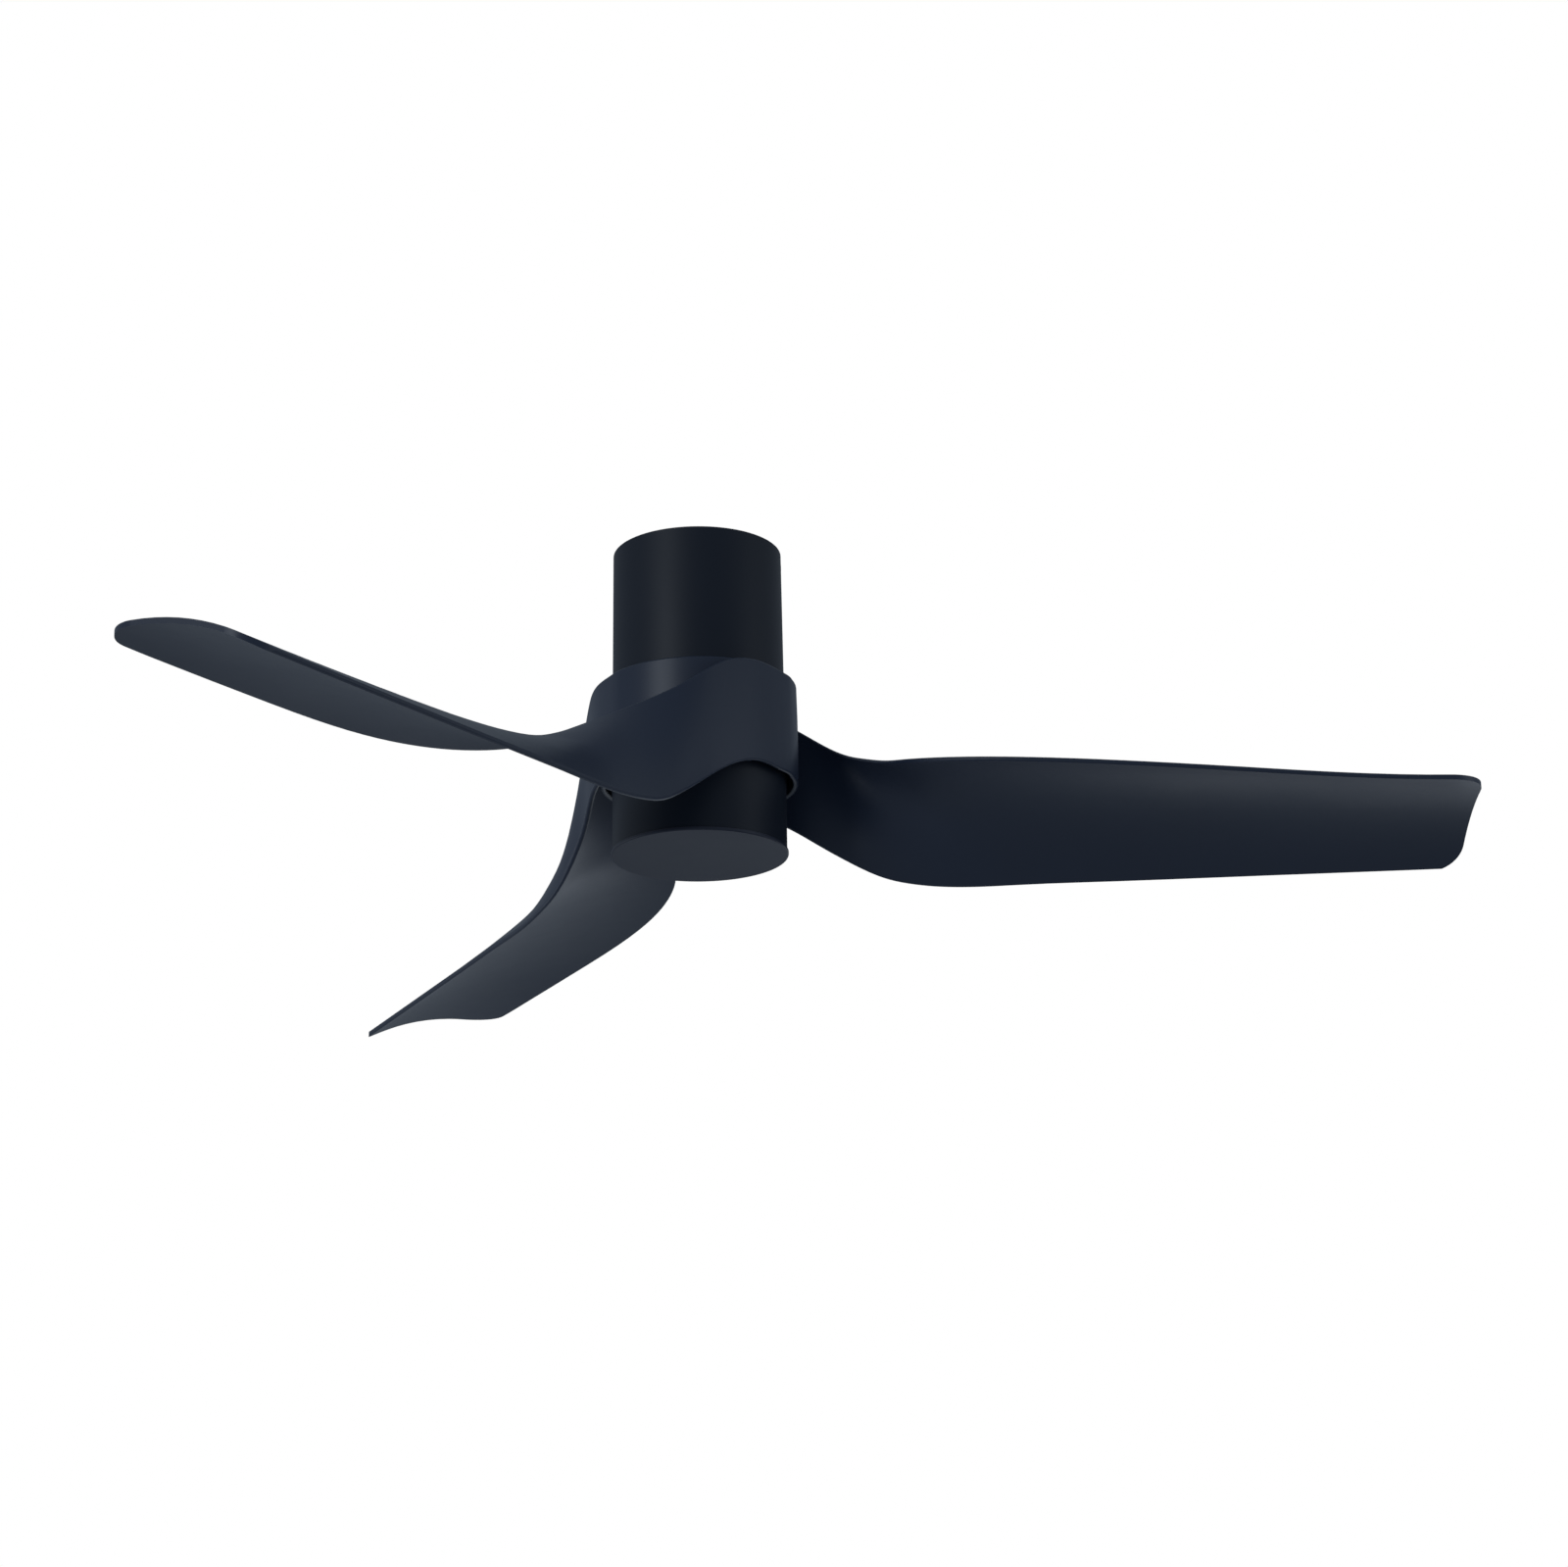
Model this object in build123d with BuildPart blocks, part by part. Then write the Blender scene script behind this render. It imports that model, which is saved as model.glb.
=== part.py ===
"""Flush ceiling fan with a light: three ribbon blades that grow out of one turning collar.

Millimetres, +Z up. The origin is on the ceiling, on the fan's axis, and the fan hangs below it.
The tip of blade 1 points along +X.
"""

from build123d import *
from math import acos, cos, degrees, radians, sin
import os

os.makedirs("parts", exist_ok=True)

# ---------------------------------------------------------------- driving dimensions
# collar_drop, collar_height and can_drop add up to the fan's height.
tip_reach = 655.0  # axis to the straight end of a blade
blade_count = 3

# collar, made by the roots of the blades
collar_drop = 122.5  # ceiling to the collar's top edge
collar_height = 89.0
can_drop = 61.0  # collar's lower edge to the underside of the light cover
collar_top_r = 83.9
collar_low_r = 84.3  # the collar has a little draft
blade_thickness = 4.5
band_flange_thickness = 5.0  # the flange inside the collar that screws to the rotor
first_angle = 108.0  # degrees; a blade's share of the collar is a plain arc from here on

# ribbon blade, beyond the collar
lead_offset = 76.0  # the leading edge runs straight, this far beside the axis
lead_droop = 73.5  # and this far under the collar's lower edge
twist_end = 212.0  # axis to where the ribbon has turned into a blade
trail_offset = 93.0  # how far the trailing edge swings to the other side
camber_root = 0.5  # hollow of the underside, where the blade starts, at its deepest and at its tip
camber_full = 20.0
camber_tip = 12.0
camber_starts = 0.12  # shares of the blade's run
camber_peaks = 0.35
tip_slant = 14.5  # the tip's edge is not quite square to the blade
trail_at_tip = 63.5  # trailing edge, beside the axis, at the tip and where the outline starts
trail_near_tip = 68.5
outline_share = 0.9  # the tip's outline starts at this share of the reach
lead_corner_r = 28.0  # rounding of the two tip corners
trail_corner_r = 30.0
section_count = 36

# upper housing, a drafted casting
housing_top_r = 72.4
housing_low_r = 73.4
housing_wall = 2.2
deck_thickness = 3.5
ceiling_gap = 1.5  # housing rim to ceiling
housing_overlap = 9.0  # how far the housing reaches down inside the collar

# light can and its cover
can_r = 74.0
can_wall = 1.8
can_top_thickness = 3.0
can_overlap = 8.0  # how far the can reaches up inside the collar
cover_r = 75.2
cover_thickness = 3.0
cover_skirt_r = 68.2
cover_skirt_wall = 2.0
cover_skirt_height = 10.4
cover_twist = 15.0  # degrees from locked to free
lug_angle = 12.0
lug_play = 1.0  # degrees, both sides together
lug_count = 3
first_lug = 80.0
lug_height = 3.0
lug_reach = 2.4

# ceiling bracket
plate_thickness = 2.0
bracket_width = 44.0
bracket_hub_r = 36.0
cable_hole_r = 22.0
slot_spacing = 88.9
slot_width = 6.5
slot_length = 16.0
tab_width = 14.0
tab_drop = 24.0

# motor
shaft_r = 8.5
shaft_bore_r = 5.5
shaft_flange_r = 20.0
shaft_flange_thickness = 4.0
shaft_end_margin = 2.0  # thread left below the nut
flange_screw_circle_r = 14.5
flange_screw_count = 3
first_flange_screw = 30.0  # degrees
spacer_r = 11.5
washer_r = 15.0
washer_thickness = 1.5
nut_flats = 24.0
nut_height = 8.0
bearing_r = 17.5
bearing_height = 10.0
bearing_lip = 1.0  # the ledge that holds each outer race
ball_r = 2.4
ball_circle_r = 13.0
ball_count = 9
seat_wall = 4.5
rotor_flange_r = 78.7
rotor_flange_thickness = 4.0
rotor_wall_r = 60.0
rotor_wall = 5.5
rotor_cover_thickness = 4.0
back_iron_wall = 4.0
magnet_thickness = 3.5
magnet_count = 14
magnet_split = 1.6
air_gap = 0.8
stator_height = 22.0
stator_hub_r = 21.0
stator_teeth = 12
tooth_width = 5.0
tooth_shoe = 5.0
slot_mouth = 4.0
coil_wall = 3.0
coil_inner_r = 26.0
coil_end = 4.0  # how far a coil stands above and below the core
coil_gap = 0.6  # coil to tooth shoe
blade_screw_circle_r = 69.5
blade_screws_per_blade = 3
blade_screw_step = 32.0  # degrees
cover_screw_count = 6
cover_screw_depth = 7.0  # how far those screws reach into the rotor's wall
key_width = 4.0
key_height = 3.0

# clearances
rotor_gap = 4.0  # rotor to the fixed housing above and the can below
running_gap = 1.0  # turning edge to a fixed edge inside
ball_gap = 0.06
twist_gap = 0.3  # cover to can, and lug to groove
joint_gap = 0.5  # faces of neighbouring castings that only pass each other
slip = 0.1  # a piece slid over or into another by hand
lug_gap = 0.4  # bayonet ring to the cover's skirt, and groove to the ends of its lugs
cut_over = 1.0  # a cut runs this far past the face it starts from
seat_over = 1.0  # a bearing's seat stands this far past its race

# roundings
rim_round = 0.6
head_round = 0.8
cup_round = 1.5

# rubber mounting of the motor
mount_plate_r = 42.0
mount_plate_thickness = 3.0
mount_circle_r = 32.0
mount_count = 3
first_mount = 90.0  # degrees
boss_r = 5.5
boss_height = 4.0
bush_r = 8.0
bush_neck_r = 6.0
bush_flange = 3.0
shoulder_r = 3.4

# control module and terminal block
case_corner_r = 4.0
module_length = 92.0
module_width = 50.0
module_height = 24.0
module_wall = 2.0
module_ear = 12.0
post_spacing = 104.0
post_r = 4.5
module_lift = 32.0  # module above the housing deck
lid_thickness = 2.0
terminal_length = 34.0
terminal_width = 20.0
terminal_height = 14.0
terminal_ways = 3
terminal_hole_r = 2.6
terminal_screw_r = 2.5
terminal_mouth = (5.0, 4.0)  # where a wire goes in: width, height
driver_slot = (3.6, 0.8, 1.0)  # in a terminal screw's head: length, width, depth
board_stand = 3.0  # control board above the case's floor
capacitor_place = (-30.0, 8.0)
capacitor_r = 6.0
capacitor_height = 13.0
relay_place = (-8.0, -6.0)
relay_size = (16.0, 20.0, 11.0)
fin_place = (24.0, 0.0)
fin_size = (22.0, 4.0, 9.0)
fin_pitch = 9.0
fin_count = 3

# light engine
driver_length = 38.0
driver_width = 60.0
driver_height = 20.0
driver_offset = 39.0
driver_ear = 12.0
driver_ear_thickness = 2.5
driver_corner_r = 3.0
driver_edge_r = 1.2
tray_screw_count = 3
tray_first_screw = 60.0  # degrees
board_screw_count = 3
tray_post_r = 4.0
tray_circle_r = 62.0
tray_clearance = 13.1  # tray to the top of the cover's skirt
tray_r = 70.0
tray_thickness = 2.0
board_r = 57.0
board_thickness = 1.6
board_screw_circle_r = 38.0
led_rings = {48.0: 24, 28.0: 12}  # circle radius: how many light-emitting diodes stand on it
led_size = 3.5
led_height = 0.9

# leads
motor_lead_r = 2.0
light_lead_r = 1.8
lead_offset_in_bore = 3.0
lead_bend_r = 5.0
lead_over_core = 3.0  # axis of the motor's lead above the stator core
lead_window_rise = 3.0  # the window is this much taller than wide, to clear the lead's bend
lead_start = 1.0  # above the control module's underside

# screws: a socket's radius and depth are shares of the head's; then each size's
# shank radius, head radius and head height
socket_r_share = 0.45
socket_depth_share = 0.55
m3 = (1.5, 2.8, 2.0)
m4 = (2.0, 3.8, 2.6)
m5 = (2.5, 5.5, 3.2)

# ---------------------------------------------------------------- levels, worked out downwards
collar_top = -collar_drop
collar_low = collar_top - collar_height
deck_low = collar_top - housing_overlap
deck_top = deck_low + deck_thickness
rotor_top = deck_low - rotor_gap
rotor_flange_low = rotor_top - rotor_flange_thickness
can_top = collar_low + can_overlap
can_top_low = can_top - can_top_thickness
rotor_low = can_top + rotor_gap
cover_low = collar_low - can_drop
cover_top = cover_low + cover_thickness
can_low = cover_top + twist_gap
tray_low = cover_top + cover_skirt_height + tray_clearance
tray_top = tray_low + tray_thickness
tray_drop = can_top_low - tray_top
upper_bearing_top = rotor_top - bearing_lip
upper_bearing_low = upper_bearing_top - bearing_height
lower_bearing_low = rotor_low + bearing_lip
lower_bearing_top = lower_bearing_low + bearing_height
stator_middle = (upper_bearing_low + lower_bearing_top) / 2
stator_top = stator_middle + stator_height / 2
stator_low = stator_middle - stator_height / 2
boss_top = deck_top + boss_height
mount_plate_low = boss_top + bush_flange
mount_plate_top = mount_plate_low + mount_plate_thickness
bush_top = mount_plate_top + bush_flange
rotor_inside_r = rotor_wall_r - rotor_wall
magnet_outer_r = rotor_inside_r - back_iron_wall
stator_r = magnet_outer_r - magnet_thickness - air_gap
seat_r = bearing_r + seat_wall
lip_hole_r = spacer_r + running_gap
deck_hole_r = spacer_r + 2.5 * running_gap
can_inside_r = can_r - can_wall
FLAT_BOTTOM = (Align.CENTER, Align.CENTER, Align.MIN)
FLAT_TOP = (Align.CENTER, Align.CENTER, Align.MAX)


def housing_r(z):
    """Outer radius of the drafted housing at height z."""
    share = (-ceiling_gap - z) / (-ceiling_gap - deck_low)
    return housing_top_r + share * (housing_low_r - housing_top_r)


def pan_screw(size, length):
    """A pan-head screw: its head stands on z = 0 and its shank hangs below."""
    shank_r, head_r, head_height = size
    with BuildPart() as screw:
        Cylinder(head_r, head_height, align=FLAT_BOTTOM)
        fillet(screw.faces().sort_by(Axis.Z)[-1].edges(), head_height * 0.4)
        with BuildSketch(Plane.XY.offset(head_height)):
            RegularPolygon(head_r * socket_r_share, 6)
        extrude(amount=-head_height * socket_depth_share, mode=Mode.SUBTRACT)
        Cylinder(shank_r, length, align=FLAT_TOP)
    return screw.part


def sunk_screw(size, length):
    """A countersunk screw: its flat head lies just under z = 0 and its shank hangs below."""
    shank_r, head_r, _ = size
    with BuildPart() as screw:
        cone_height = head_r - shank_r
        Cone(shank_r, head_r, cone_height, align=FLAT_TOP)
        with BuildSketch(Plane.XY):
            RegularPolygon(shank_r * 0.75, 6)
        extrude(amount=-cone_height * 0.6, mode=Mode.SUBTRACT)
        with Locations((0, 0, -cone_height)):
            Cylinder(shank_r, length - cone_height, align=FLAT_TOP)
    return screw.part


# ---------------------------------------------------------------- ceiling bracket
# Pressed steel strap with a round hub; its two turned-down tabs carry the housing.
tab_face = housing_r(-tab_drop / 2) - housing_wall - joint_gap
side_screw_z = -plate_thickness - tab_drop / 2

with BuildPart() as mounting_bracket:
    with BuildSketch(Plane.XY.offset(-plate_thickness)):
        Rectangle(2 * tab_face - bracket_width, bracket_width)
        Circle(bracket_hub_r)
        Rectangle(2 * tab_face, tab_width)
        Circle(cable_hole_r, mode=Mode.SUBTRACT)
        with GridLocations(slot_spacing, 0, 2, 1):
            SlotOverall(slot_length, slot_width, mode=Mode.SUBTRACT)
    extrude(amount=plate_thickness)
    for side in (-1, 1):
        with Locations((side * (tab_face - plate_thickness / 2), 0, 0)):
            Box(plate_thickness, tab_width, plate_thickness + tab_drop, align=FLAT_TOP)
    tab_bends = mounting_bracket.edges().filter_by(Axis.Y).group_by(Axis.Z)[-1].sort_by(Axis.X)
    fillet([tab_bends[0], tab_bends[-1]], plate_thickness * 0.9)
    with Locations(Location((0, 0, side_screw_z), (0, 90, 0))):
        Cylinder(m4[0], 2 * tab_face + plate_thickness, mode=Mode.SUBTRACT)

# ---------------------------------------------------------------- upper housing
# One casting: drafted tube, a deck across its bottom, three bosses for the motor
# and two posts for the control module.
side_screw_r = housing_r(side_screw_z)
side_screw_head = m4[1] - m4[0]

with BuildPart() as upper_housing:
    with BuildSketch(Plane.XZ):
        with BuildLine():
            Polyline(
                (deck_hole_r, deck_low),
                (housing_low_r, deck_low),
                (housing_top_r, -ceiling_gap),
                (housing_top_r - housing_wall, -ceiling_gap),
                (housing_low_r - housing_wall, deck_top),
                (deck_hole_r, deck_top),
                close=True,
            )
        make_face()
    revolve(axis=Axis.Z)
    rims = upper_housing.edges().filter_by(GeomType.CIRCLE)
    outer_rims = rims.filter_by(lambda edge: edge.radius > housing_top_r - slip)
    fillet(outer_rims, rim_round)
    with PolarLocations(mount_circle_r, mount_count, start_angle=first_mount):
        with Locations((0, 0, deck_top)):
            Cylinder(boss_r, boss_height, align=FLAT_BOTTOM)
            Cylinder(m5[0], 2 * deck_thickness, mode=Mode.SUBTRACT)
        with Locations((0, 0, deck_top)):
            Cylinder(m5[0], boss_height, align=FLAT_BOTTOM, mode=Mode.SUBTRACT)
    with GridLocations(post_spacing, 0, 2, 1):
        with Locations((0, 0, deck_top)):
            Cylinder(post_r, module_lift, align=FLAT_BOTTOM)
        with Locations((0, 0, deck_top + module_lift)):
            Cylinder(m3[0], module_lift / 3, align=FLAT_TOP, mode=Mode.SUBTRACT)
    for side in (-1, 1):
        head_place = side * (side_screw_r - side_screw_head / 2)
        with Locations(Location((side * side_screw_r, 0, side_screw_z), (0, 90, 0))):
            Cylinder(m4[0], 4 * housing_wall, mode=Mode.SUBTRACT)
        with Locations(Location((head_place, 0, side_screw_z), (0, side * 90, 0))):
            Cone(m4[0], m4[1], side_screw_head, mode=Mode.SUBTRACT)

side_screw = sunk_screw(m4, housing_wall + joint_gap + 2 * plate_thickness + side_screw_head)
with BuildPart() as housing_screws:
    for side in (-1, 1):
        with Locations(Location((side * side_screw_r, 0, side_screw_z), (0, side * 90, 0))):
            add(side_screw)

# ---------------------------------------------------------------- control module
# Receiver and motor drive in a moulded case on the two posts, its circuit board and its lid.
module_low = deck_top + module_lift
module_top = module_low + module_height
ear_thickness = module_wall * 1.5

with BuildPart() as control_case:
    with BuildSketch(Plane.XY.offset(module_low)):
        RectangleRounded(module_length, module_width, case_corner_r)
    extrude(amount=module_height)
    with BuildSketch(Plane.XY.offset(module_low + module_wall)):
        RectangleRounded(
            module_length - 2 * module_wall,
            module_width - 2 * module_wall,
            case_corner_r - module_wall,
        )
    extrude(amount=module_height, mode=Mode.SUBTRACT)
    with BuildSketch(Plane.XY.offset(module_low)):
        for side in (-1, 1):
            with Locations((side * (module_length + module_ear) / 2, 0)):
                Rectangle(module_ear + slip, module_ear)
    extrude(amount=ear_thickness)
    with BuildSketch(Plane.XY.offset(module_low)):
        with GridLocations(post_spacing, 0, 2, 1):
            Circle(m3[0] + slip)
        with GridLocations(2 * lead_offset_in_bore, 0, 2, 1):
            Circle(motor_lead_r + slip)
    extrude(amount=ear_thickness, mode=Mode.SUBTRACT)

with BuildPart() as control_lid:
    with BuildSketch(Plane.XY.offset(module_top)):
        RectangleRounded(module_length, module_width, case_corner_r)
    extrude(amount=lid_thickness)
    fillet(control_lid.faces().sort_by(Axis.Z)[-1].edges(), head_round)
    with BuildSketch(Plane.XY.offset(module_top)):
        lip_length = module_length - 2 * module_wall - 2 * slip
        lip_width = module_width - 2 * module_wall - 2 * slip
        RectangleRounded(lip_length, lip_width, case_corner_r - module_wall - slip)
        Rectangle(lip_length - 2 * module_wall, lip_width - 2 * module_wall, mode=Mode.SUBTRACT)
    extrude(amount=-module_wall)

board_low = module_low + module_wall + board_stand
board_top = board_low + board_thickness
with BuildPart() as control_board:
    with Locations((0, 0, board_low)):
        Box(
            module_length - 3 * module_wall,
            module_width - 3 * module_wall,
            board_thickness,
            align=FLAT_BOTTOM,
        )
    with Locations((*capacitor_place, board_top)):
        Cylinder(capacitor_r, capacitor_height, align=FLAT_BOTTOM)
    with Locations((*relay_place, board_top)):
        Box(*relay_size, align=FLAT_BOTTOM)
    with Locations((*fin_place, board_top)):
        with GridLocations(0, fin_pitch, 1, fin_count):
            Box(*fin_size, align=FLAT_BOTTOM)

module_screw = pan_screw(m3, module_lift / 4)
with BuildPart() as control_screws:
    with GridLocations(post_spacing, 0, 2, 1):
        with Locations((0, 0, module_low + ear_thickness)):
            add(module_screw)

# ---------------------------------------------------------------- terminal block
terminal_low = module_top + lid_thickness
terminal_pitch = terminal_length / terminal_ways

with BuildPart() as terminal_block:
    with Locations((0, 0, terminal_low)):
        Box(terminal_length, terminal_width, terminal_height * 0.55, align=FLAT_BOTTOM)
        Box(terminal_length, terminal_width * 0.55, terminal_height, align=FLAT_BOTTOM)
    with BuildSketch(Plane.XY.offset(terminal_low + terminal_height)):
        with GridLocations(terminal_pitch, 0, terminal_ways, 1):
            Circle(terminal_hole_r)
    extrude(amount=-terminal_height * 0.6, mode=Mode.SUBTRACT)
    with BuildSketch(Plane.XZ.offset(-terminal_width / 2)):
        with GridLocations(terminal_pitch, 0, terminal_ways, 1):
            with Locations((0, terminal_low + terminal_height * 0.28)):
                Rectangle(*terminal_mouth)
    extrude(amount=terminal_width, mode=Mode.SUBTRACT)

with BuildPart() as terminal_screws:
    with GridLocations(terminal_pitch, 0, terminal_ways, 1):
        with Locations((0, 0, terminal_low + terminal_height * 0.5)):
            Cylinder(terminal_screw_r, terminal_height * 0.3, align=FLAT_BOTTOM)
    with BuildSketch(Plane.XY.offset(terminal_low + terminal_height * 0.8)):
        with GridLocations(terminal_pitch, 0, terminal_ways, 1):
            Rectangle(driver_slot[0], driver_slot[1])
    extrude(amount=-driver_slot[2], mode=Mode.SUBTRACT)

# ---------------------------------------------------------------- rubber mounting
# The steel plate that carries the motor floats on three rubber bushes.
with BuildPart() as mount_plate:
    with BuildSketch(Plane.XY.offset(mount_plate_low)):
        Circle(mount_plate_r)
        Circle(shaft_r, mode=Mode.SUBTRACT)
        with PolarLocations(mount_circle_r, mount_count, start_angle=first_mount):
            Circle(bush_neck_r, mode=Mode.SUBTRACT)
    extrude(amount=mount_plate_thickness)
    with PolarLocations(flange_screw_circle_r, flange_screw_count, start_angle=first_flange_screw):
        with Locations((0, 0, mount_plate_low)):
            Cylinder(m4[0], mount_plate_thickness, align=FLAT_BOTTOM, mode=Mode.SUBTRACT)

with BuildPart() as isolation_bushes:
    with PolarLocations(mount_circle_r, mount_count, start_angle=first_mount):
        with Locations((0, 0, boss_top)):
            Cylinder(bush_r, bush_flange, align=FLAT_BOTTOM)
            Cylinder(bush_neck_r, bush_top - boss_top, align=FLAT_BOTTOM)
        with Locations((0, 0, mount_plate_top)):
            Cylinder(bush_r, bush_flange, align=FLAT_BOTTOM)
        with Locations((0, 0, boss_top)):
            Cylinder(shoulder_r, bush_top - boss_top, align=FLAT_BOTTOM, mode=Mode.SUBTRACT)

with BuildPart() as shoulder_screw:
    Cylinder(m5[1], m5[2], align=FLAT_BOTTOM)
    fillet(shoulder_screw.faces().sort_by(Axis.Z)[-1].edges(), head_round)
    with BuildSketch(Plane.XY.offset(m5[2])):
        RegularPolygon(m5[1] * socket_r_share, 6)
    extrude(amount=-m5[2] * socket_depth_share, mode=Mode.SUBTRACT)
    Cylinder(shoulder_r, bush_top - boss_top, align=FLAT_TOP)
    with Locations((0, 0, boss_top - bush_top)):
        Cylinder(m5[0], boss_height + deck_thickness - slip, align=FLAT_TOP)

with BuildPart() as bush_screws:
    with PolarLocations(mount_circle_r, mount_count, start_angle=first_mount):
        with Locations((0, 0, bush_top)):
            add(shoulder_screw.part)

# ---------------------------------------------------------------- hollow shaft and what it clamps
# The flange rests on the mount plate; one nut at the bottom clamps sleeves, inner races,
# stator core and light can. The leads run down inside.
nut_top = can_top_low - washer_thickness
nut_low = nut_top - nut_height
shaft_low = nut_low - shaft_end_margin
motor_lead_level = stator_top + lead_over_core
lead_window_middle = motor_lead_level + lead_window_rise / 2
lead_window_width = 2 * motor_lead_r + 8 * slip

with BuildPart() as stator_shaft:
    with Locations((0, 0, mount_plate_top + shaft_flange_thickness)):
        Cylinder(shaft_flange_r, shaft_flange_thickness, align=FLAT_TOP)
        Cylinder(shaft_r, mount_plate_top + shaft_flange_thickness - shaft_low, align=FLAT_TOP)
    fillet(stator_shaft.faces().sort_by(Axis.Z)[-1].edges(), head_round)
    with Locations((0, 0, mount_plate_top + shaft_flange_thickness)):
        Cylinder(
            shaft_bore_r,
            mount_plate_top + shaft_flange_thickness - shaft_low,
            align=FLAT_TOP,
            mode=Mode.SUBTRACT,
        )
    with PolarLocations(flange_screw_circle_r, flange_screw_count, start_angle=first_flange_screw):
        with Locations((0, 0, mount_plate_top)):
            Cylinder(m4[0], shaft_flange_thickness, align=FLAT_BOTTOM, mode=Mode.SUBTRACT)
    with Locations((shaft_r, 0, stator_low)):
        Box(key_height, key_width, stator_height, align=FLAT_BOTTOM, mode=Mode.SUBTRACT)
    with BuildSketch(Plane.YZ):
        with Locations((0, lead_window_middle)):
            SlotCenterToCenter(lead_window_rise, lead_window_width, rotation=90)
    extrude(amount=-2 * shaft_r, mode=Mode.SUBTRACT)
    shaft_end_rims = stator_shaft.edges().filter_by(GeomType.CIRCLE).group_by(Axis.Z)[0]
    chamfer(shaft_end_rims.sort_by(SortBy.RADIUS)[-1:], head_round)

flange_screw = pan_screw(m4, shaft_flange_thickness + mount_plate_thickness)
with BuildPart() as shaft_flange_screws:
    with PolarLocations(flange_screw_circle_r, flange_screw_count, start_angle=first_flange_screw):
        with Locations((0, 0, mount_plate_top + shaft_flange_thickness)):
            add(flange_screw)

# Each sleeve runs from one clamped piece to the next: (top, bottom).
sleeves = [
    (mount_plate_low, upper_bearing_top),
    (upper_bearing_low, stator_top),
    (stator_low, lower_bearing_top),
    (lower_bearing_low, can_top),
]
with BuildPart() as shaft_sleeves:
    for sleeve_top, sleeve_low in sleeves:
        with BuildSketch(Plane.XY.offset(sleeve_low)):
            Circle(spacer_r)
            Circle(shaft_r, mode=Mode.SUBTRACT)
        extrude(amount=sleeve_top - sleeve_low)
    with BuildSketch(Plane.YZ):
        with Locations((0, lead_window_middle)):
            SlotCenterToCenter(lead_window_rise, lead_window_width, rotation=90)
    extrude(amount=-2 * spacer_r, mode=Mode.SUBTRACT)

with BuildPart() as stator_key:
    with Locations((shaft_r, 0, stator_low)):
        Box(key_height, key_width, stator_height, align=FLAT_BOTTOM)

with BuildPart() as shaft_washer:
    with BuildSketch(Plane.XY.offset(nut_top)):
        Circle(washer_r)
        Circle(shaft_r, mode=Mode.SUBTRACT)
    extrude(amount=washer_thickness)

with BuildPart() as shaft_nut:
    with BuildSketch(Plane.XY.offset(nut_low)):
        RegularPolygon(nut_flats / 2, 6, major_radius=False)
        Circle(shaft_r, mode=Mode.SUBTRACT)
    extrude(amount=nut_height)

# ---------------------------------------------------------------- stator
with BuildPart() as stator_core:
    with BuildSketch(Plane.XY.offset(stator_low)):
        Circle(stator_r)
        Circle(stator_r - tooth_shoe, mode=Mode.SUBTRACT)
        Circle(stator_hub_r)
        with PolarLocations((stator_hub_r + stator_r - tooth_shoe) / 2, stator_teeth):
            Rectangle(stator_r - tooth_shoe - stator_hub_r + 2 * cut_over, tooth_width)
        with PolarLocations(stator_r, stator_teeth, start_angle=180 / stator_teeth):
            Rectangle(4 * tooth_shoe, slot_mouth, mode=Mode.SUBTRACT)
        Circle(stator_hub_r)
        Circle(shaft_r, mode=Mode.SUBTRACT)
        with Locations((shaft_r, 0)):
            Rectangle(key_height, key_width, mode=Mode.SUBTRACT)
    extrude(amount=stator_height)

coil_outer_r = stator_r - tooth_shoe - coil_gap
coil_middle_r = (coil_inner_r + coil_outer_r) / 2
with BuildPart() as one_coil:
    with Locations((coil_middle_r, 0, stator_middle)):
        Box(coil_outer_r - coil_inner_r, tooth_width + 2 * coil_wall, stator_height + 2 * coil_end)
    fillet(one_coil.edges().filter_by(Axis.X), coil_wall * 0.8)
    with Locations((coil_middle_r, 0, stator_middle)):
        Box(coil_outer_r - coil_inner_r, tooth_width, stator_height, mode=Mode.SUBTRACT)

with BuildPart() as stator_coils:
    with PolarLocations(0, stator_teeth):
        add(one_coil.part)

# ---------------------------------------------------------------- bearings
race_wall = (bearing_r - shaft_r) / 3
bearing_levels = (upper_bearing_low, lower_bearing_low)
groove_r = ball_r + ball_gap

with BuildPart() as bearing_inner_races:
    for level in bearing_levels:
        with BuildSketch(Plane.XZ):
            with Locations((shaft_r, level)):
                Rectangle(race_wall, bearing_height, align=(Align.MIN, Align.MIN))
            with Locations((ball_circle_r, level + bearing_height / 2)):
                Circle(groove_r, mode=Mode.SUBTRACT)
        revolve(axis=Axis.Z)

with BuildPart() as bearing_outer_races:
    for level in bearing_levels:
        with BuildSketch(Plane.XZ):
            with Locations((bearing_r, level)):
                Rectangle(race_wall, bearing_height, align=(Align.MAX, Align.MIN))
            with Locations((ball_circle_r, level + bearing_height / 2)):
                Circle(groove_r, mode=Mode.SUBTRACT)
        revolve(axis=Axis.Z)

with BuildPart() as bearing_balls:
    for level in bearing_levels:
        with PolarLocations(ball_circle_r, ball_count):
            with Locations((0, 0, level + bearing_height / 2)):
                Sphere(ball_r)

# ---------------------------------------------------------------- rotor
# A deep cup whose wide top flange carries the blades, closed by a cover with the lower bearing.
rotor_cover_top = rotor_low + rotor_cover_thickness
cover_screw_circle_r = rotor_wall_r - rotor_wall / 2
blade_screw_angles = [
    first_angle + blade * 360 / blade_count + step * blade_screw_step
    for blade in range(blade_count)
    for step in range(blade_screws_per_blade)
]

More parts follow.
